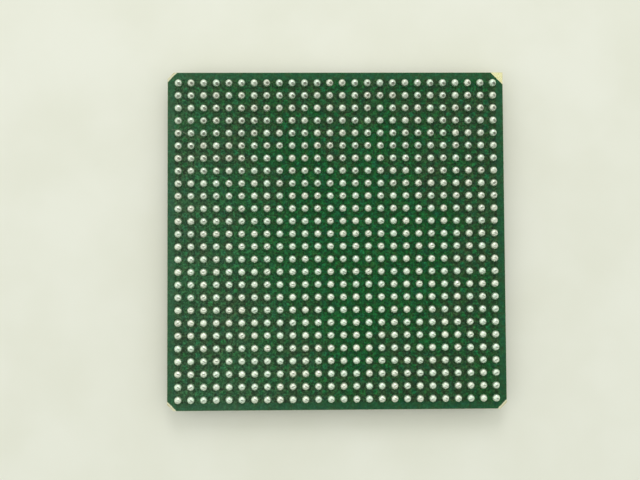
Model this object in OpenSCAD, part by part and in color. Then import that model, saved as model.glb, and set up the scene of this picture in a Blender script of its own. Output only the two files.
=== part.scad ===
// Ball grid array: a moulded, wire-bonded chip package with 26 rows of 26 solder balls.
//
// It lies on the flat face of its mould cap with the balls up, as it lies on a bench
// before it is turned over onto a board. Lengths are in millimetres and angles in degrees.
// Z = 0 is the flat face of the mould cap, and X = Y = 0 is the middle of the ball grid.
// Ball A1 is at the corner +X, +Y: rows A to AF run towards -Y, columns 1 to 26 towards -X.
//
// From the cap upwards: mould cap with die and bond wires inside, solder mask, copper,
// laminate, ground plane, core laminate, power plane, laminate, copper, solder mask, balls.

/* [Body] */
// Side of the square substrate
body_size = 26.8; // [26.6:0.1:31]
// Straight cut across three of the substrate's corners, measured along each side
corner_cut = 0.5; // [0.3:0.05:0.7]

/* [Ball grid] */
// Distance between the centres of neighbouring balls
ball_pitch = 1; // [0.8:0.01:1.01]
// Diameter of a solder ball
ball_d = 0.6; // [0.5:0.01:0.66]
// Diameter of the hole in the solder mask that a ball sits in
mask_hole_d = 0.45; // [0.36:0.01:0.48]
// Width of the ring of pad copper that the mask covers around each hole
pad_lap = 0.06; // [0.03:0.01:0.08]
// Gap between the outermost pads and the mask that reaches down to the laminate around them
copper_gap = 0.05; // [0.02:0.01:0.06]
// Width of a copper trace
trace_w = 0.12; // [0.06:0.01:0.16]
// Length of the gold corner mark beside ball A1, along each side
a1_mark_leg = 0.95; // [0.7:0.05:1.05]

/* [Layers] */
// Thickness of the core laminate
core_t = 0.23; // [0.1:0.01:0.5]
// Thickness of each outer laminate
prepreg_t = 0.1; // [0.06:0.01:0.2]
// Thickness of the ground plane and of the power plane
plane_t = 0.02; // [0.01:0.005:0.035]
// Thickness of the outer copper with its plating
copper_t = 0.02; // [0.01:0.005:0.03]
// Thickness of the solder mask, measured on bare laminate
mask_t = 0.045; // [0.035:0.005:0.06]
// Bare laminate between the edge of the mask and the edge of the substrate
mask_setback = 0.02; // [0.01:0.01:0.1]
// Extra bare laminate at the three cut corners, measured along each side
mask_corner_setback = 0.08; // [0.04:0.01:0.1]
// Laminate between the edge of a plane and the edge of the substrate
plane_setback = 0.3; // [0.2:0.05:0.6]

/* [Vias] */
// Diameter of a plated and filled via
via_d = 0.15; // [0.1:0.01:0.18]
// Width of the copper ring around a via
via_ring = 0.12; // [0.08:0.01:0.14]
// Gap around a via that passes through a plane without touching it
via_gap = 0.1; // [0.06:0.01:0.15]
// Rings of vias around the middle one that are tied to the ground plane
ground_rings = 4; // [2:1:4]
// Rings of vias around those that are tied to the power plane
power_rings = 1; // [1:1:2]

/* [Mould cap] */
// Thickness of the mould cap over the solder mask
cap_t = 1.17; // [0.9:0.01:1.5]
// Bare rim of substrate around the mould cap
cap_rim = 1.4; // [1:0.1:2.5]
// Draft of the mould cap's sides
cap_draft = 30; // [10:1:35]
// Cut across the mould cap's corners at the substrate, measured along each side
cap_corner = 2; // [1:0.1:3]
// Diameter of the index dimple in the cap's face
dimple_d = 1; // [0.6:0.1:1.5]
// Depth of the index dimple
dimple_depth = 0.06; // [0.03:0.01:0.12]
// Distance from the index dimple's centre to the two nearest edges of the cap's face
dimple_inset = 1.8; // [1.6:0.1:3]
// Width of the gold strip that the mould compound ran in over
gate_w = 1; // [0.6:0.1:1.5]

/* [Die and bond wires] */
// Side of the square die
die_size = 10; // [9:0.1:11]
// Thickness of the die
die_t = 0.3; // [0.2:0.01:0.4]
// Thickness of the die attach film
attach_t = 0.03; // [0.02:0.005:0.05]
// Distance from the die's edge to the pads along it
pad_inset = 0.15; // [0.1:0.01:0.3]
// Distance from the die's corner to the first pad, measured along its edge
corner_pad_inset = 0.3; // [0.2:0.05:1]
// Bond wires along each side of the die, an odd number
wires_per_side = 25; // [9:2:25]
// Diameter of a bond wire
wire_d = 0.025; // [0.02:0.001:0.03]
// Diameter of the squashed ball at a wire's first end
wire_ball_d = 0.06; // [0.05:0.005:0.08]
// Height of that squashed ball
wire_ball_h = 0.015; // [0.01:0.001:0.02]
// Diameter of the rounded knee at the top of a wire's loop
knee_d = 0.042; // [0.04:0.001:0.05]
// Height of that knee over the die
loop_h = 0.16; // [0.12:0.01:0.2]
// Distance from the die's edge to the middle of the bond fingers
finger_reach = 2.5; // [2:0.1:3]
// Length of a bond finger that lies open to the wires
finger_len = 0.5; // [0.4:0.05:0.6]

/* [Hidden] */
ROWS = ["a", "b", "c", "d", "e", "f", "g", "h", "j", "k", "l", "m", "n",
        "p", "r", "t", "u", "v", "w", "y", "aa", "ab", "ac", "ad", "ae", "af"];
SIDES = ["north", "west", "south", "east"];
$fn = 32;

// Round solids cut by these reach this far past a face
over = 0.5;

balls = len(ROWS);
ball_r = ball_d / 2;
mask_hole_r = mask_hole_d / 2;
pad_r = mask_hole_r + pad_lap;
via_r = via_d / 2;
land_r = via_r + via_ring;
body_half = body_size / 2;

// A via lies in the middle of every four balls; vias and their rings count from the middle one
middle_via = (balls - 2) / 2;
power_from = ground_rings + 1;
power_to = ground_rings + power_rings;

// Levels from the mould cap's face upwards
z_cap_top = cap_t;
z_laminate = z_cap_top + mask_t;
z_ground = z_laminate + prepreg_t;
z_core = z_ground + plane_t;
z_power = z_core + core_t;
z_prepreg = z_power + plane_t;
z_top = z_prepreg + prepreg_t;
z_mask_top = z_top + mask_t;
z_ball = z_mask_top + sqrt(ball_r * ball_r - mask_hole_r * mask_hole_r);
z_die_top = z_cap_top - attach_t;
z_die_face = z_die_top - die_t;
z_finger = z_laminate - copper_t;

// The mould cap, at the substrate and at its face
cap_half = body_half - cap_rim;
cap_taper = cap_t * tan(cap_draft);
cap_corner_half = (2 * cap_half - cap_corner) / sqrt(2);

// Bond fingers come two to a ball pitch. The first row of vias that lies clear outside them, and
// the row after it, take their traces.
finger_pitch = ball_pitch / 2;
finger_row = die_size / 2 + finger_reach;
trace_via_row = ceil((finger_row + finger_len / 2 + land_r) / ball_pitch) * ball_pitch;
window_half_w = (wires_per_side - 1) / 2 * finger_pitch + trace_w;
pad_row = die_size / 2 - pad_inset;
pad_pitch = (die_size - 2 * corner_pad_inset) / (wires_per_side - 1);
paddle_size = (2 * ground_rings + 1) * ball_pitch;

function ball_at(i) = (i - (balls - 1) / 2) * ball_pitch;
function via_at(m) = (m - middle_via) * ball_pitch;
function ring(m, n) = max(abs(m - middle_via), abs(n - middle_via));

// Balls reach inwards for their via, so those on the middle lines serve a ball on each side
function first_ball(m) = m <= middle_via ? m : m + 1;
function last_ball(m) = m < middle_via ? m : m + 1;

module at_vias(from = 0, to = middle_via) {
    for (m = [0 : balls - 2], n = [0 : balls - 2])
        if (ring(m, n) >= from && ring(m, n) <= to)
            translate([via_at(m), via_at(n)]) children();
}

module on_four_sides() {
    for (side = [0 : len(SIDES) - 1]) rotate(90 * side) children();
}

// A square with three corners cut by `cut`, and the corner of ball A1 by `a1_cut`
module cut_square(h, cut, a1_cut) {
    a1_corner = a1_cut > 0 ? [[h, h - a1_cut], [h - a1_cut, h]] : [[h, h]];
    polygon(concat([[-h + cut, -h], [h - cut, -h], [h, -h + cut]], a1_corner,
                   [[-h + cut, h], [-h, h - cut], [-h, -h + cut]]));
}

module layer_outline(inset, cut, a1_cut) { cut_square(body_half - inset, cut, a1_cut); }

// A straight strip of copper between the centres of two round ends
module strip(from, to, w = trace_w) {
    d = to - from;
    translate(from) rotate(atan2(d.y, d.x)) translate([0, -w / 2]) square([norm(d), w]);
}

/* ---- Ball side ---- */

module ball() {
    color("silver") rotate_extrude() {
        intersection() {
            translate([0, z_ball]) circle(ball_r);
            translate([0, z_mask_top]) square([ball_r, ball_d]);
        }
        translate([0, z_top + copper_t]) square([mask_hole_r, mask_t - copper_t]);
    }
}

module ball_row(j) {
    for (i = [0 : balls - 1])
        translate([ball_at(i), ball_at(balls - 1 - j)]) ball();
}

// One net: a via land and the pad or pads that it serves, each joined to it by a trace
module dog_bone(m, n) {
    via = [via_at(m), via_at(n)];
    translate(via) circle(land_r);
    for (i = [first_ball(m) : last_ball(m)], j = [first_ball(n) : last_ball(n)]) {
        pad = [ball_at(i), ball_at(j)];
        translate(pad) circle(pad_r);
        strip(via, pad);
    }
}

module ball_side_copper() {
    color("peru") translate([0, 0, z_top]) linear_extrude(copper_t)
        for (m = [0 : balls - 2], n = [0 : balls - 2]) dog_bone(m, n);
}

module a1_corner_mark() {
    h = body_half - mask_setback;
    color("wheat") translate([0, 0, z_top]) linear_extrude(copper_t)
        polygon([[h, h], [h - a1_mark_leg, h], [h, h - a1_mark_leg]]);
}

// The mask lies on the copper all over the grid, and on the laminate around it
module ball_side_mask() {
    hollow_r = pad_r + copper_gap;
    hollow_cut = hollow_r * (2 - sqrt(2));
    color("darkgreen") difference() {
        translate([0, 0, z_top]) linear_extrude(mask_t)
            layer_outline(mask_setback, corner_cut + mask_corner_setback, a1_mark_leg);
        translate([0, 0, z_top - over]) linear_extrude(copper_t + over)
            cut_square(ball_at(balls - 1) + hollow_r, hollow_cut, hollow_cut);
        for (i = [0 : balls - 1], j = [0 : balls - 1])
            translate([ball_at(i), ball_at(j), z_top]) cylinder(r = mask_hole_r, h = mask_t + over);
    }
}

/* ---- Laminates, planes and vias ---- */

module laminate(z, t, plane_z) {
    color("darkkhaki") difference() {
        translate([0, 0, z]) linear_extrude(t) layer_outline(0, corner_cut, 0);
        translate([0, 0, z - over]) at_vias() cylinder(r = via_r, h = t + 2 * over);
        if (plane_z >= z && plane_z < z + t) plane_sheet(plane_z);
    }
}

module plane_sheet(z) {
    translate([0, 0, z]) linear_extrude(plane_t) layer_outline(plane_setback, corner_cut, 0);
}

// A plane that touches the vias from one ring to another and stands clear of the rest
module plane(z, from, to) {
    color("peru") difference() {
        plane_sheet(z);
        translate([0, 0, z - over]) {
            at_vias(from, to) cylinder(r = via_r, h = plane_t + 2 * over);
            at_vias(0, from - 1) cylinder(r = via_r + via_gap, h = plane_t + 2 * over);
            at_vias(to + 1) cylinder(r = via_r + via_gap, h = plane_t + 2 * over);
        }
    }
}

module ball_side_laminate() { laminate(z_power, plane_t + prepreg_t, z_power); }
module power_plane() { plane(z_power, power_from, power_to); }
module core_laminate() { laminate(z_core, core_t, -1); }
module ground_plane() { plane(z_ground, 0, ground_rings); }
module die_side_laminate() { laminate(z_laminate, prepreg_t + plane_t, z_ground); }

// Plated and filled barrels, from the die side's copper to the ball side's
module vias() {
    color("peru") translate([0, 0, z_laminate]) at_vias() cylinder(r = via_r, h = z_top - z_laminate);
}

/* ---- Die side ---- */

// A bond finger runs straight out between the vias: every second one ends on the first row of
// vias outside it, and the others pass that row and turn to a via of the row after it
module finger_trace(i) {
    k = i - (wires_per_side - 1) / 2;
    x = k * finger_pitch;
    start = [x, finger_row - finger_len / 2];
    via = k % 2 == 0 ? [x, trace_via_row]
                     : [x + sign(k) * finger_pitch, trace_via_row + ball_pitch];
    turn = k % 2 == 0 ? via : [x, trace_via_row + finger_pitch];
    strip(start, turn);
    translate(via) circle(land_r);
    if (k % 2 != 0) {
        translate(turn) circle(d = trace_w);
        strip(turn, via);
    }
}

module die_side_copper() {
    color("peru") translate([0, 0, z_finger]) linear_extrude(copper_t) {
        square(paddle_size, center = true);
        on_four_sides() for (i = [0 : wires_per_side - 1]) finger_trace(i);
    }
}

// The opening in the mask along one side's fingers
module finger_window() {
    translate([-window_half_w, finger_row - finger_len / 2]) square([2 * window_half_w, finger_len]);
}

// The strip runs from the mould cap's corner to the substrate's corner beside ball A1
module gate_outline() {
    intersection() {
        rotate(45) translate([cap_corner_half, -gate_w / 2]) square([body_size, gate_w]);
        layer_outline(mask_setback, corner_cut, 0);
    }
}

module mould_gate_strip() {
    color("wheat") translate([0, 0, z_finger]) linear_extrude(copper_t) gate_outline();
}

module die_side_mask() {
    color("darkgreen") difference() {
        translate([0, 0, z_cap_top]) linear_extrude(mask_t)
            layer_outline(mask_setback, corner_cut + mask_corner_setback, 0);
        translate([0, 0, z_cap_top - over]) linear_extrude(mask_t + 2 * over) {
            on_four_sides() finger_window();
            gate_outline();
        }
        die_side_copper();
    }
}

/* ---- Die, wires and mould cap ---- */

module square_slab(size, z, t) {
    translate([-size / 2, -size / 2, z]) cube([size, size, t]);
}

module die_attach() { color("lightgray") square_slab(die_size, z_die_top, attach_t); }
module die() { color("slategray") square_slab(die_size, z_die_face, die_t); }

// A wire rises from its squashed ball on the die at `pad`, turns over at its knee and runs straight
// down to `foot` on a finger, where it is cut flush. It is drawn upright and mirrored, because the
// die hangs under the substrate. Both its ends reach `past` that far into what they stand on.
module bond_wire(pad, foot, past) {
    run = norm(foot - pad);
    drop = z_finger - z_die_face;
    translate([pad.x, pad.y, z_die_face]) rotate(atan2(foot.y - pad.y, foot.x - pad.x))
    mirror([0, 0, 1]) {
        translate([0, 0, -past]) cylinder(d = wire_ball_d, h = wire_ball_h + past);
        cylinder(d = wire_d, h = loop_h);
        translate([0, 0, loop_h]) sphere(d = knee_d);
        intersection() {
            translate([0, 0, loop_h]) rotate([0, 90 + atan2(drop + loop_h, run), 0])
                cylinder(d = wire_d, h = norm([run, drop + loop_h]) + over);
            translate([0, -over, -drop - past]) cube([run + over, 2 * over, drop + loop_h + over]);
        }
    }
}

module bond_wires(past = 0) {
    color("gold") for (i = [0 : wires_per_side - 1]) {
        k = i - (wires_per_side - 1) / 2;
        bond_wire([k * pad_pitch, pad_row], [k * finger_pitch, finger_row], past);
    }
}

// A slab between two parallel drafted sides, narrowing from the substrate down to the cap's face
module drafted_slab(half) {
    rotate([90, 0, 0]) linear_extrude(2 * body_size, center = true)
        polygon([[-half, cap_t], [half, cap_t], [half - cap_taper, 0], [cap_taper - half, 0]]);
}

module cap_body() {
    intersection() {
        drafted_slab(cap_half);
        rotate(90) drafted_slab(cap_half);
        rotate(45) drafted_slab(cap_corner_half);
        rotate(-45) drafted_slab(cap_corner_half);
    }
}

module mould_cap() {
    dimple = cap_half - cap_taper - dimple_inset;
    color([0.13, 0.13, 0.14]) difference() {
        union() {
            cap_body();
            translate([0, 0, z_cap_top - over]) linear_extrude(mask_t + over) on_four_sides() finger_window();
        }
        translate([dimple, dimple, -over]) cylinder(d = dimple_d, h = dimple_depth + over);
        die_attach();
        die();
        die_side_copper();
        on_four_sides() bond_wires(past = copper_t / 2);
    }
}

ball_side_mask();
mould_cap();
ball_side_copper();
vias();
a1_corner_mark();
ball_side_laminate();
power_plane();
core_laminate();
ground_plane();
die_side_laminate();
die_side_copper();
mould_gate_strip();
die_side_mask();
die_attach();
die();
for (k = [0 : len(SIDES) - 1])
    rotate(90 * k) bond_wires();
for (j = [0 : balls - 1]) ball_row(j);
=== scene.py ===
# %% [markdown]
# # A ball grid array, lying balls up
#
# The real object is a chip package 27 mm square: a thin green circuit board with 676 solder balls
# on one side and a block of black mould compound on the other. It lies on that block, so the balls
# face up. Every solid comes from the CAD model. This script gives each of them its finish, lights
# them softly and adds one stray fibre, as a handled part carries.

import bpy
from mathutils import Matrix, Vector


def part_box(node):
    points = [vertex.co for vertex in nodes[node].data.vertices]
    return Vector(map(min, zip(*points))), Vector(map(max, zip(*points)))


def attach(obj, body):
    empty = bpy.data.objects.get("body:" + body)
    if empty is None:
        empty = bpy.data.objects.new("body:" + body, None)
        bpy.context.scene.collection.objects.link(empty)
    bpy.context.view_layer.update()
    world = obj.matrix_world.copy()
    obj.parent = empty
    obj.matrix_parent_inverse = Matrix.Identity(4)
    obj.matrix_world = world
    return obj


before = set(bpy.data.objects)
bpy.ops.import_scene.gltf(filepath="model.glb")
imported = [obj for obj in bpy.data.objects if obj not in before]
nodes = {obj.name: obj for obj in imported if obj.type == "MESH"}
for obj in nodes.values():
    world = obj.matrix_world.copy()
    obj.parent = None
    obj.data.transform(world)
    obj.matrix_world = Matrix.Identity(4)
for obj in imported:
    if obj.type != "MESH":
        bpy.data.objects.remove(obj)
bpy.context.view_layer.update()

# %% [markdown]
# All sizes here come from the solids, so that a pattern painted on the board meets the balls that
# stand on it. The ball pitch is the step from one ball row to the next, and a ball's diameter is
# the width of a row. The cut corners are known by their reach, the sum of the distances from the
# middle in X and in Y. The back left corner gives it.

# %% Sizes of the real thing
import math
import bpy
from mathutils import Vector

MM = 0.001
ball_rows = [name for name in nodes if name.startswith("ball_row_")]


def node_span(name, axis):
    """Lowest and highest place of a node along an axis, in millimetres."""
    low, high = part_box(name)
    return low[axis] / MM, high[axis] / MM


def node_middle(name, axis):
    """Middle of a node along an axis, in millimetres."""
    return sum(node_span(name, axis)) / 2


row_low, row_high = node_span("ball_row_a", 1)
ball_d = row_high - row_low
pitch = node_middle("ball_row_a", 1) - node_middle("ball_row_b", 1)
body_half = node_span("core_laminate", 0)[1]
core_points = [vertex.co for vertex in nodes["core_laminate"].data.vertices]
corner_reach = max(point.y - point.x for point in core_points) / MM
mask_top = node_span("ball_side_mask", 2)[1]
ball_tip = node_span("ball_row_a", 2)[1]
ball_middle = ball_tip - ball_d / 2
grid_half = (len(ball_rows) - 1) / 2
print(f"pitch {pitch:.3f}, ball {ball_d:.3f}, body {2 * body_half:.2f}, mask top {mask_top:.3f} mm")
print(f"the cut corners reach {corner_reach:.3f} mm")

# %% [markdown]
# The camera looks almost straight down from a hand's width away, a little off centre. Blender's
# camera looks along its own -Z, so with no turn it already looks down, and each angle below is only
# a slight lean. The near clip is far inside the default of 10 cm, because the part is so small.

# %% Camera
CAMERA_HEIGHT = 60.0
CAMERA_ASIDE = (-2.326, -2.075)
CAMERA_LEAN = (1.980, -0.947, -0.290)
CAMERA_LENS = 42.72
CAMERA_SENSOR = 36.0
CAMERA_CLIP = (1 * MM, 10.0)

scene = bpy.context.scene
camera_data = bpy.data.cameras.new("camera")
camera_data.lens = CAMERA_LENS
camera_data.sensor_width = CAMERA_SENSOR
camera_data.clip_start, camera_data.clip_end = CAMERA_CLIP
camera = bpy.data.objects.new("camera", camera_data)
camera.location = [MM * value for value in (*CAMERA_ASIDE, ball_middle + CAMERA_HEIGHT)]
camera.rotation_euler = [math.radians(angle) for angle in CAMERA_LEAN]
scene.collection.objects.link(camera)
scene.camera = camera
scene.view_settings.view_transform = "Standard"
print("camera at", [round(value / MM, 2) for value in camera.location], "mm")

# %% [markdown]
# A finish is a network of nodes. Written node by node it is hard to read, so a few small classes
# let it be written as sums. `Socket` wraps one output, and Python's operators on it add Math nodes.
# A colour or a vector goes through Vector Math instead, because a Math node would turn it grey. The
# reflected forms, such as `__rsub__`, are there so that `1 - mask` works as well as `mask - 1`.

# %% Sockets that can be added up
class Socket:
    """One output of a node. Sums and products of sockets add the nodes that work them out."""

    def __init__(self, network, output):
        self.network = network
        self.output = output

    def is_vector(self):
        return self.output.type != "VALUE"

    def work(self, operation, *values):
        """A Math node on these values, or a Vector Math node where one of them is a vector."""
        vector = any(isinstance(value, tuple) or isinstance(value, Socket) and value.is_vector()
                     for value in values)
        kind = "ShaderNodeVectorMath" if vector else "ShaderNodeMath"
        return self.network.node(kind, {"operation": operation}, dict(enumerate(values)))

    def __add__(self, other):
        return self.work("ADD", self, other)

    def __radd__(self, other):
        return self.work("ADD", other, self)

    def __sub__(self, other):
        return self.work("SUBTRACT", self, other)

    def __rsub__(self, other):
        return self.work("SUBTRACT", other, self)

    def __mul__(self, other):
        return self.work("MULTIPLY", self, other)

    def __rmul__(self, other):
        return self.work("MULTIPLY", other, self)

    def __truediv__(self, other):
        return self.work("DIVIDE", self, other)

    def __rtruediv__(self, other):
        return self.work("DIVIDE", other, self)

    def __pow__(self, other):
        return self.work("POWER", self, other)

    def __rpow__(self, other):
        return self.work("POWER", other, self)

    def __abs__(self):
        return self.work("ABSOLUTE", self)

    def floor(self):
        return self.work("FLOOR", self)

    def fraction(self):
        return self.work("FRACT", self)

    def most(self, other):
        return self.work("MAXIMUM", self, other)

    def to_nearest(self):
        """How far the value is from the nearest whole number, from 0 to 0.5."""
        return self.work("PINGPONG", self, 0.5)


def length(across, along):
    """Length of a step of that much across and that much along."""
    return (across * across + along * along) ** 0.5


# %% [markdown]
# `Network` is the nodes of one material, and later those of the sky. Its `node` method makes any
# node from its type, its settings and what its sockets get, and `done` links the shader. Colours
# are given as screen colours and turned into the linear ones that Blender calculates with.

# %% A network of nodes
def paint(red, green, blue):
    """A screen colour, 0 to 255 each, as the linear colour that a shader takes."""
    screen = [value / 255 for value in (red, green, blue)]
    return tuple(v / 12.92 if v <= 0.04045 else ((v + 0.055) / 1.055) ** 2.4 for v in screen)


class Network:
    """Nodes that are written as sums of sockets."""

    def write_in(self, owner, shader):
        """Starts the nodes of a material or a world, and keeps the shader that it comes with."""
        owner.use_nodes = True
        self.owner = owner
        self.tree = owner.node_tree
        self.shader = self.tree.nodes[shader]

    def spread(self, place):
        """Keeps the place that patterns are worked out from, and its parts along X and Y."""
        self.place = place
        self.x, self.y = (self.node("ShaderNodeSeparateXYZ", {}, {0: place}, axis) for axis in "XY")

    def fill(self, socket, value):
        """Links a socket to a wrapped one, or sets it to a number or a colour."""
        if isinstance(value, Socket):
            self.tree.links.new(value.output, socket)
        elif socket.type == "RGBA":
            socket.default_value = (*value, 1)
        elif socket.type == "VECTOR" and not isinstance(value, tuple):
            socket.default_value = (value, value, value)
        else:
            socket.default_value = value

    def node(self, kind, settings=None, inputs=None, output=0):
        """A node of this kind. Its settings are made first, because they can change its sockets."""
        made = self.tree.nodes.new(kind)
        for name, value in (settings or {}).items():
            setattr(made, name, value)
        for name, value in (inputs or {}).items():
            self.fill(made.inputs[name], value)
        return Socket(self, made.outputs[output])

    def done(self, **looks):
        """Fills the shader's sockets and gives the material or world."""
        for name, value in looks.items():
            self.fill(self.shader.inputs[name.replace("_", " ")], value)
        print(f"{self.owner.name}: {len(self.tree.nodes)} nodes")
        return self.owner


# %% [markdown]
# Every finish here is built from the same few things: cloudy noise of a given grain, a smooth
# change from one value to another, a soft-edged spot, chance numbers that stay the same over one
# square of the ball grid, a blend of two colours, and a bump. Each is a node or two with a few
# values, so each is a short method of `Finish`. Patterns use the place in the part's own frame, in
# millimetres, so they run on from one solid to the next.

# %% A finish
class Finish(Network):
    """A material whose varying parts are written as sums of sockets."""

    def __init__(self, name):
        self.write_in(bpy.data.materials.new(name), "Principled BSDF")
        self.spread(self.node("ShaderNodeTexCoord", output="Object") * (1 / MM))

    def noise(self, grain, detail=2.0, place=None):
        """Cloudy noise from 0 to 1 with features of about that many millimetres."""
        return self.node("ShaderNodeTexNoise", {}, {
            "Vector": place or self.place, "Scale": 1 / grain, "Detail": detail}, "Fac")

    def ramp(self, value, start, end, low=0.0, high=1.0):
        """Goes smoothly from low to high while value goes from start to end."""
        return self.node("ShaderNodeMapRange", {"interpolation_type": "SMOOTHSTEP"}, {
            "Value": value, "From Min": start, "From Max": end, "To Min": low, "To Max": high})

    def within(self, distance, reach, soft):
        """1 where distance is less than reach, 0 beyond it, with an edge that wide."""
        return self.ramp(distance, reach - soft / 2, reach + soft / 2, 1.0, 0.0)

    def chance(self, column, row):
        """Three numbers from 0 to 1, the same all over one square of a grid."""
        square = self.node("ShaderNodeCombineXYZ", {}, {"X": column, "Y": row})
        random = self.node("ShaderNodeTexWhiteNoise", {"noise_dimensions": "2D"},
                           {"Vector": square}, "Color")
        return [self.node("ShaderNodeSeparateColor", {}, {0: random}, name)
                for name in ("Red", "Green", "Blue")]

    def blend(self, share, first, second):
        """The first colour where share is 0, the second where it is 1."""
        return self.node("ShaderNodeMix", {"data_type": "RGBA"}, {0: share, 6: first, 7: second}, 2)

    def relief(self, height, depth):
        """The normal of a surface whose height from 0 to 1 stands for depth millimetres."""
        return self.node("ShaderNodeBump", {}, {"Height": height, "Distance": depth * MM}, "Normal")


def wear(name, material):
    """Puts a finish on a CAD node."""
    for slot in nodes[name].material_slots:
        slot.material = material


# %% [markdown]
# Solder mask is a tough green lacquer over copper and laminate. It looks lighter where copper lies
# under it: a round land about each via, a short trace from the via to its ball, and the rim of the
# pad round each ball. It sinks a little into each via's barrel and looks darker there. A painted
# image could show this, but it would blur from close by. Distances worked out at each place stay
# sharp. Vias lie in the middle of every four balls, and each ball's trace runs inwards, so with the
# distances from the grid's middle lines taken as positive numbers, one square holds the pattern for
# all four quarters. Near the middle of the grid, ties run along the ball rows as well.

# %% Copper that shows through the mask
LAND_R, BARREL_R, TRACE_HALF, PAD_R = 0.2, 0.07, 0.07, 0.31
TIES_REACH = 4.0
SOFT_EDGE = 0.06
# How clearly each shows, where the clearest land is 1
TRACE_SHARE, PAD_SHARE, LEAST_LAND = 0.5, 0.4, 0.45


def copper_below(finish, wobble, from_middle, luck):
    """Where copper shows, where a via's barrel is, and where the ball grid is, each from 0 to 1."""
    out_x, out_y = abs(finish.x) / pitch, abs(finish.y) / pitch
    near_x, near_y = out_x.to_nearest(), out_y.to_nearest()
    part_x, part_y = out_x.fraction(), out_y.fraction()
    from_via = length(near_x, near_y)
    from_ball = length(0.5 - near_x, 0.5 - near_y)
    beside_trace = abs(part_x - part_y) * math.sqrt(0.5)
    beside_row = 0.5 - near_y

    inner = finish.within(part_x + part_y, 1.0, 0.02)
    trace = finish.within(beside_trace + wobble, TRACE_HALF, SOFT_EDGE) * inner * TRACE_SHARE
    tie = (finish.within(beside_row + wobble, TRACE_HALF, SOFT_EDGE)
           * finish.within(from_middle, TIES_REACH, TIES_REACH))
    land = finish.within(from_via + wobble, LAND_R, 0.08) * (LEAST_LAND + (1 - LEAST_LAND) * luck)
    pad = finish.within(from_ball, PAD_R, 0.05) * PAD_SHARE
    barrel = finish.within(from_via + wobble, BARREL_R, SOFT_EDGE)
    on_grid = finish.within(out_x.most(out_y), grid_half + PAD_R, SOFT_EDGE)
    return land.most(trace).most(pad).most(tie) * on_grid, barrel, on_grid


# %% [markdown]
# The lacquer is not one green. It has warm and cold patches, a pale painted sheen towards the front
# left, and the rough copper and cloth below make it mottled. One noise alone looks like clouds, so
# the mottle is three of them, of different sizes, multiplied. Colours that lie over each other are
# blended one after the other, and light and dark is a factor about 1 on the whole.

# %% Stains, painted sheen and mottle of the mask
RESIN_BROWN = paint(62, 66, 34)
COLD_GREEN = paint(16, 72, 62)
# A pale painted sheen: the light that the lacquer shows towards the front left, put into its colour
PAINTED_SHEEN = paint(120, 150, 126)
BROWN_SHARE, COLD_SHARE, SHEEN_SHARE = 0.27, 0.3, 0.12
SHEEN_LEAN = 0.3
PATCH_GRAIN, BLOTCH_GRAIN, SPECK_GRAIN = 0.42, 0.2, 0.045
MARGIN_MOTTLE = 0.45


def stains_and_sheen(finish, colour, clouds):
    """This colour with warm and cold patches and the painted sheen towards the front left."""
    warmth = finish.noise(PATCH_GRAIN, place=finish.place + 40.0)
    colour = finish.blend(finish.ramp(warmth, 0.5, 0.72) * BROWN_SHARE, colour, RESIN_BROWN)
    colour = finish.blend(finish.ramp(warmth, 0.5, 0.28) * COLD_SHARE, colour, COLD_GREEN)
    # Painted sheen, strongest towards the front left and patchy with the clouds
    sheen = (finish.ramp(finish.x + finish.y * SHEEN_LEAN, -body_half, 0.0, 1.0, 0.0)
            * finish.ramp(clouds, 0.3, 0.7, 0.5, 1.0))
    return finish.blend(sheen * SHEEN_SHARE, colour, PAINTED_SHEEN)


def mottled(finish, grain, on_grid):
    """A factor about 1 for light and dark, weaker in the plain margin round the grid."""
    blotches, specks = finish.noise(BLOTCH_GRAIN), finish.noise(SPECK_GRAIN, 1.0)
    mottle = (finish.ramp(blotches, 0.36, 0.64, 0.68, 1.38)
              * finish.ramp(grain, 0.34, 0.66, 0.5, 1.55)
              * finish.ramp(specks, 0.35, 0.65, 0.8, 1.2))
    return 1 + (mottle - 1) * (MARGIN_MOTTLE + (1 - MARGIN_MOTTLE) * on_grid)


# %% [markdown]
# The finish puts these together on a ground that changes in clouds from a brownish green to a deep
# one, most of all in the middle of the board. Chance numbers for the square about each via set how
# light its land is, how deep its barrel looks and whether its green is warm or cold, because no two
# vias are quite alike. Along the cut of each cut corner the lacquer is gone in a narrow band, where
# the pale laminate is bare.

# %% Solder mask over the ball grid
OVER_COPPER = paint(16, 96, 42)
TEAL_COPPER = paint(16, 92, 54)
OVER_LAMINATE = paint(41, 72, 41)
DEEP_LAMINATE = paint(12, 78, 32)
BARREL_GREEN = paint(4, 72, 28)
MASK_MARGIN = paint(30, 82, 48)
BARE_EDGE = paint(226, 222, 190)
BARE_WIDTH = 0.19
CLOUD_GRAIN, MASK_GRAIN, WOBBLE_GRAIN = 2.6, 0.11, 0.12
WOBBLE = 0.06
BARREL_SHARE = 0.8


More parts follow.
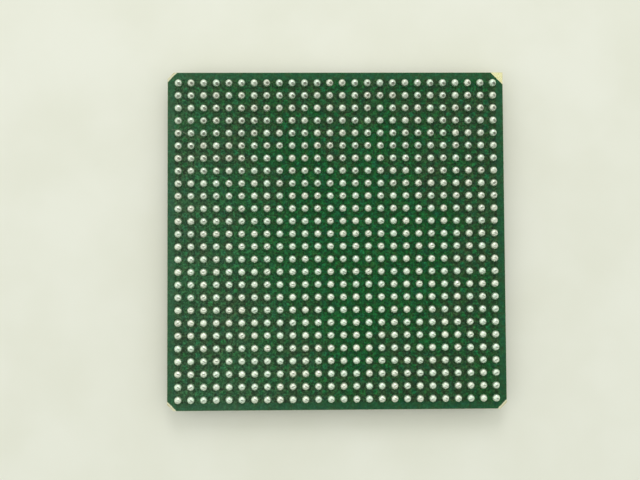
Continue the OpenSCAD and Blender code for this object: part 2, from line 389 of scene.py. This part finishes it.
def grid_mask():
    finish = Finish("green mask over the ball grid")
    from_middle = length(finish.x, finish.y)
    wobble = finish.noise(WOBBLE_GRAIN) * WOBBLE - WOBBLE / 2
    clouds, grain = finish.noise(CLOUD_GRAIN, 3.0), finish.noise(MASK_GRAIN, 3.0)
    column, row = (finish.x / pitch + 0.5).floor(), (finish.y / pitch + 0.5).floor()
    luck, dip, tint = finish.chance(column, row)
    copper, barrel, on_grid = copper_below(finish, wobble, from_middle, luck)
    barrel = barrel * dip

    middle = finish.within(from_middle, 0.5 * body_half, body_half)
    deep = finish.ramp(clouds + middle * 0.3, 0.45, 0.7)
    ground = finish.blend(on_grid, MASK_MARGIN, finish.blend(deep, OVER_LAMINATE, DEEP_LAMINATE))
    colour = finish.blend(copper, ground, finish.blend(tint, OVER_COPPER, TEAL_COPPER))
    colour = finish.blend(barrel * BARREL_SHARE * on_grid, colour, BARREL_GREEN)
    colour = stains_and_sheen(finish, colour, clouds) * mottled(finish, grain, on_grid)
    to_cut = (corner_reach - abs(finish.x) - abs(finish.y)) * math.sqrt(0.5) + wobble * 2.0
    return finish.done(
        Base_Color=finish.blend(finish.within(to_cut, BARE_WIDTH, SOFT_EDGE), colour, BARE_EDGE),
        Roughness=finish.ramp(grain, 0.3, 0.7, 0.4, 0.6),
        Specular_IOR_Level=0.15,
        Normal=finish.relief(copper * 0.6 + grain * 0.4 - barrel * 0.5, 0.012))


wear("ball_side_mask", grid_mask())

# %% [markdown]
# On the die side the same lacquer covers plain laminate, so it needs no pattern. It shows only as a
# rim round the mould cap.

# %% Solder mask on the die side
def plain_mask():
    finish = Finish("green mask on the die side")
    clouds, grain = finish.noise(2.0, 3.0), finish.noise(MASK_GRAIN, 3.0)
    colour = finish.blend(finish.ramp(clouds, 0.35, 0.65), OVER_LAMINATE, MASK_MARGIN)
    return finish.done(
        Base_Color=colour * finish.ramp(grain, 0.3, 0.7, 0.75, 1.2),
        Roughness=finish.ramp(grain, 0.3, 0.7, 0.3, 0.45),
        Normal=finish.relief(grain, 0.006))


wear("die_side_mask", plain_mask())

# %% [markdown]
# The pin of a test socket has left a small dent beside the top of each ball. It is worked out as an
# ellipse in each square of the grid. Its place and tilt go by chance, and a further chance number
# sets how deep it is. Towards the back the dents grow rounder, wider and darker, and their grey
# also stands for a painted dark reflection on the ball. Dents cut into 676 meshes would make them
# far too heavy, so a bump sinks them.

# %% Dents in the solder balls
MARK_ASIDE = (0.06, -0.04)
MARK_R = 0.09
MARK_SHIFT = 0.06
# Towards the back the mark moves and widens, as the painted dark reflection does
WEAR_AND_REFLECTION_ASIDE = (0.01, -0.04)
WEAR_AND_REFLECTION_WIDER = 0.03
SHALLOW_DENT = 0.3


def pin_dent(finish, column, row, shift_x, shift_y, deep, wear_and_reflection, ripple):
    """Where a pin pressed the ball and its painted dark reflection lies, from 0 to 1. Column and
    row are counted in balls.
    """
    off_x = ((column.fraction() - 0.5) * pitch - MARK_ASIDE[0]
             - (shift_x - 0.5) * MARK_SHIFT - wear_and_reflection * WEAR_AND_REFLECTION_ASIDE[0])
    off_y = ((row.fraction() - 0.5) * pitch - MARK_ASIDE[1]
             - (shift_y - 0.5) * MARK_SHIFT - wear_and_reflection * WEAR_AND_REFLECTION_ASIDE[1])
    tilted = off_y + off_x * (shift_x - 0.4) * (1.6 - wear_and_reflection)
    long_way = off_x * off_x * (0.6 + wear_and_reflection * 0.4)
    short_way = tilted * tilted * (2.2 - wear_and_reflection)
    from_mark = (long_way + short_way) ** 0.5 + (ripple - 0.5) * 0.08
    depth = finish.ramp(deep, 0.0, 0.6, SHALLOW_DENT + 0.2 * wear_and_reflection, 1.0)
    return finish.within(from_mark - wear_and_reflection * WEAR_AND_REFLECTION_WIDER, MARK_R, 0.1) * depth


# %% [markdown]
# The balls are solder that was melted and froze again, a bright metal with a faint ripple. Each one
# froze a little differently, so the chance numbers make one ball duller or warmer than the next.
# The rows towards the back are a little duller as well. Where a pin pressed, the metal is grey,
# partly for the dull metal of the mark and partly as a painted dark reflection, strongest towards
# the back.
# Both silvers are tinted green, a painted reflection of the green mask round the balls. One finish
# serves all rows, because the chance numbers tell the balls apart.

# %% Solder balls
# Both silvers are tinted green, a painted reflection of the green mask
SILVER_WITH_GREEN_REFLECTION = paint(232, 250, 230)
WARM_SILVER_WITH_GREEN_REFLECTION = paint(244, 248, 230)
# Partly the dull grey of a pin mark, partly a painted dark reflection on the top of each ball
MARK_GREY_AND_DARK_REFLECTION = paint(104, 106, 90)
DULLEST_BALL, DULLEST_ROW = 0.9, 0.88
WEAR_AND_REFLECTION_FROM, WEAR_AND_REFLECTION_TO = -0.2, 0.6
RIPPLE_GRAIN = 0.14


def ball_solder():
    finish = Finish("reflowed solder")
    column, row = finish.x / pitch, finish.y / pitch
    dull, deep, warm = finish.chance(column.floor(), row.floor())
    # Grows towards the back: the pin marks and their painted dark reflection
    wear_and_reflection = finish.ramp(finish.y, WEAR_AND_REFLECTION_FROM * body_half, WEAR_AND_REFLECTION_TO * body_half)
    ripple = finish.noise(RIPPLE_GRAIN)
    dent = pin_dent(finish, column, row, dull, warm, deep, wear_and_reflection, ripple)
    # Painted dark reflection: the grey of each mark, stronger towards the back
    mark_and_reflection = dent * (0.35 + 0.5 * wear_and_reflection)
    bright = (finish.ramp(dull, 0.0, 1.0, DULLEST_BALL, 1.0)
              * finish.ramp(finish.y, -body_half, body_half, 1.0, DULLEST_ROW))
    # This silver carries the painted green reflection of the mask
    silver = finish.blend(warm, SILVER_WITH_GREEN_REFLECTION, WARM_SILVER_WITH_GREEN_REFLECTION) * bright
    return finish.done(
        Metallic=0.85,
        Base_Color=finish.blend(mark_and_reflection, silver, MARK_GREY_AND_DARK_REFLECTION),
        Roughness=finish.ramp(ripple, 0.3, 0.7, 0.26, 0.4) + mark_and_reflection * 0.2,
        Normal=finish.relief(ripple * 0.25 - dent, 0.05))


solder = ball_solder()
for row_name in ball_rows:
    wear(row_name, solder)

# %% [markdown]
# The laminate is glass cloth in resin. From above it shows only as a pale line at the cut corners,
# and from the side as a sawn edge, where the layers of cloth run as fine level streaks. Squeezing
# the noise along Z makes those streaks, with no need to draw each layer.

# %% Laminate
RESIN = paint(206, 194, 148)
GLASS_CLOTH = paint(232, 226, 192)
SQUEEZE = (1.0, 1.0, 14.0)


def laminate_finish():
    finish = Finish("glass cloth laminate")
    streaks = finish.noise(0.5, 4.0, place=finish.place * SQUEEZE)
    grain = finish.noise(0.04)
    colour = finish.blend(finish.ramp(streaks, 0.35, 0.65), RESIN, GLASS_CLOTH)
    return finish.done(
        Base_Color=colour * finish.ramp(grain, 0.3, 0.7, 0.85, 1.1),
        Roughness=finish.ramp(grain, 0.3, 0.7, 0.6, 0.8),
        Normal=finish.relief(streaks * 0.6 + grain * 0.4, 0.01))


laminate = laminate_finish()
for layer in ("ball_side_laminate", "core_laminate", "die_side_laminate"):
    wear(layer, laminate)

# %% [markdown]
# The metals are alike: a colour, a polish and a fine grain, so one function makes them all. Copper
# is plated matt, the corner mark and the gate strip are pale gold plate on that copper, the wires
# are drawn gold, the die is polished silicon and the film under it is resin filled with silver.

# %% Metals and silicon
def grained(name, first, second, grain_size, polish, metallic, depth):
    """A finish of two close colours in grains, with that roughness."""
    finish = Finish(name)
    grain = finish.noise(grain_size, 3.0)
    return finish.done(
        Base_Color=finish.blend(finish.ramp(grain, 0.35, 0.65), first, second),
        Metallic=metallic,
        Roughness=finish.ramp(grain, 0.3, 0.7, polish, polish + 0.1),
        Normal=finish.relief(grain, depth))


copper = grained("plated copper", paint(204, 132, 92), paint(222, 158, 118),
                 0.06, 0.35, 1.0, 0.004)
gold_plate = grained("pale gold plate", paint(222, 214, 146), paint(246, 242, 204),
                     0.09, 0.5, 0.4, 0.01)
gold_wire = grained("drawn gold wire", paint(236, 186, 92), paint(246, 204, 122),
                    0.03, 0.2, 1.0, 0.001)
silicon = grained("polished silicon", paint(92, 94, 104), paint(104, 106, 118),
                  1.5, 0.12, 0.3, 0.001)
silver_resin = grained("silver filled resin", paint(150, 150, 146), paint(186, 186, 182),
                       0.03, 0.5, 0.5, 0.004)

for name in ("ball_side_copper", "die_side_copper", "vias", "ground_plane", "power_plane"):
    wear(name, copper)
for name in ("a1_corner_mark", "mould_gate_strip"):
    wear(name, gold_plate)
for name in nodes:
    if name.startswith("bond_wires_"):
        wear(name, gold_wire)
wear("die", silicon)
wear("die_attach", silver_resin)

# %% [markdown]
# Mould compound is black resin full of fine quartz. It comes out of the mould with the mould's own
# eroded surface: matt, finely pitted, and a little lighter where the resin ran last. Three sizes of
# noise give the grain, the pits and the flow.

# %% Mould compound
BLACK, RUN_LAST = paint(36, 36, 38), paint(48, 48, 50)


def compound():
    finish = Finish("black mould compound")
    grain, pits, flow = finish.noise(0.06, 3.0), finish.noise(0.025, 1.0), finish.noise(5.0)
    black = finish.blend(finish.ramp(flow, 0.3, 0.7), BLACK, RUN_LAST)
    return finish.done(
        Base_Color=black * finish.ramp(pits, 0.35, 0.65, 0.8, 1.25),
        Roughness=finish.ramp(grain, 0.3, 0.7, 0.55, 0.75),
        Normal=finish.relief(grain, 0.01))


wear("mould_cap", compound())

# %% [markdown]
# One hair of fibre lies over the fifth ball of the left column, as on any part that was handled. It
# rests on the mask, climbs the shoulder of the ball and comes down before the next. A curve with a
# round section is the simple way to draw it, and it is then turned into a mesh.

# %% A stray fibre
def solid_tube(name, places, radius, material):
    """A thin round tube along smooth points in millimetres, as a mesh."""
    curve = bpy.data.curves.new(name, "CURVE")
    curve.dimensions = "3D"
    curve.bevel_depth = radius * MM
    curve.bevel_resolution = 2
    curve.use_fill_caps = True
    spline = curve.splines.new("NURBS")
    spline.points.add(len(places) - 1)
    for point, place in zip(spline.points, places):
        point.co = (*(value * MM for value in place), 1)
    spline.use_endpoint_u = True
    spline.order_u = 3
    drawn = bpy.data.objects.new(name, curve)
    scene.collection.objects.link(drawn)
    graph = bpy.context.evaluated_depsgraph_get()
    mesh = bpy.data.meshes.new_from_object(drawn.evaluated_get(graph))
    bpy.data.objects.remove(drawn)
    mesh.materials.clear()
    mesh.materials.append(material)
    tube = bpy.data.objects.new(name, mesh)
    scene.collection.objects.link(tube)
    return tube


FIBRE_R = 0.01
FIBRE_ROW = 4
ball_x, ball_y = -grid_half * pitch, (grid_half - FIBRE_ROW) * pitch
fibre_places = [
    (ball_x - 0.55, ball_y + 0.31, mask_top + FIBRE_R),
    (ball_x - 0.32, ball_y + 0.27, mask_top + 0.15),
    (ball_x, ball_y + 0.25, mask_top + 0.42),
    (ball_x + 0.3, ball_y + 0.14, mask_top + 0.3),
    (ball_x + 0.5, ball_y + 0.02, mask_top + 0.12),
    (ball_x + 0.72, ball_y - 0.05, mask_top + FIBRE_R)]
lint = grained("white fibre", paint(150, 152, 136), paint(172, 172, 158), 0.1, 0.7, 0.0, 0.002)
fibre = solid_tube("stray_fibre", fibre_places, FIBRE_R, lint)
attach(fibre, "root")
print("fibre:", len(fibre.data.polygons), "faces")

# %% [markdown]
# The part lies on a plain pale table, which is one flat square. It is a hair below the cap's face,
# because two faces in exactly the same place would show through each other.

# %% Table
TABLE_SIZE = 1.2
TABLE_GAP = 0.005 * MM


def table_top():
    finish = Finish("pale table")
    clouds = finish.ramp(finish.noise(9.0, 3.0), 0.3, 0.7)
    return finish.done(
        Base_Color=finish.blend(clouds, paint(234, 233, 220), paint(239, 238, 227)),
        Roughness=0.85)


edge = TABLE_SIZE / 2
table_corners = [(-edge, -edge, 0), (edge, -edge, 0), (edge, edge, 0), (-edge, edge, 0)]
table_mesh = bpy.data.meshes.new("table")
table_mesh.from_pydata(table_corners, [], [(0, 1, 2, 3)])
table_mesh.materials.append(table_top())
table = bpy.data.objects.new("table", table_mesh)
table.location.z = -TABLE_GAP
scene.collection.objects.link(table)
print(f"table {TABLE_SIZE} m wide")

# %% [markdown]
# A wide soft lamp stands behind the part and a weaker one to the left. A small lamp would leave a
# hard dot on every ball. These are large next to the part, so each ball shows one broad highlight
# towards the back and a fainter one towards the left.

# %% Lamps
LAMP_SIZE = 60


def soft_lamp(name, place, power):
    """A square lamp at that place in millimetres, facing the part."""
    data = bpy.data.lights.new(name, "AREA")
    data.size = LAMP_SIZE * MM
    data.energy = power
    lamp = bpy.data.objects.new(name, data)
    lamp.location = Vector(place) * MM
    lamp.rotation_euler = (-Vector(place)).to_track_quat("-Z", "Y").to_euler()
    scene.collection.objects.link(lamp)
    return lamp


back_lamp = soft_lamp("back lamp", (0, 120, 110), 0.045)
left_lamp = soft_lamp("left lamp", (-120, -20, 110), 0.008)
print("lamps in place")

# %% [markdown]
# A pale sky fills the shadows. Bright balls mirror the whole of it. It is dimmer low down at the
# front than elsewhere, which leaves the front of each ball grey and its middle light. The world has
# nodes as a material has, so it is written in the same way. Only the shader is another, and the
# place is a direction into the sky.

# %% Sky
FRONT_SKY, BACK_SKY = 0.37, 1.12
FRONT_EDGE, BACK_EDGE = -0.95, -0.2


class Sky(Finish):
    """The world's background, written with the same sums as a finish."""

    def __init__(self, name):
        self.write_in(bpy.data.worlds.new(name), "Background")
        self.spread(self.node("ShaderNodeTexCoord", output="Generated"))


sky = Sky("pale sky")
scene.world = sky.done(
    Color=paint(232, 236, 230),
    Strength=sky.ramp(sky.y, FRONT_EDGE, BACK_EDGE, FRONT_SKY, BACK_SKY))
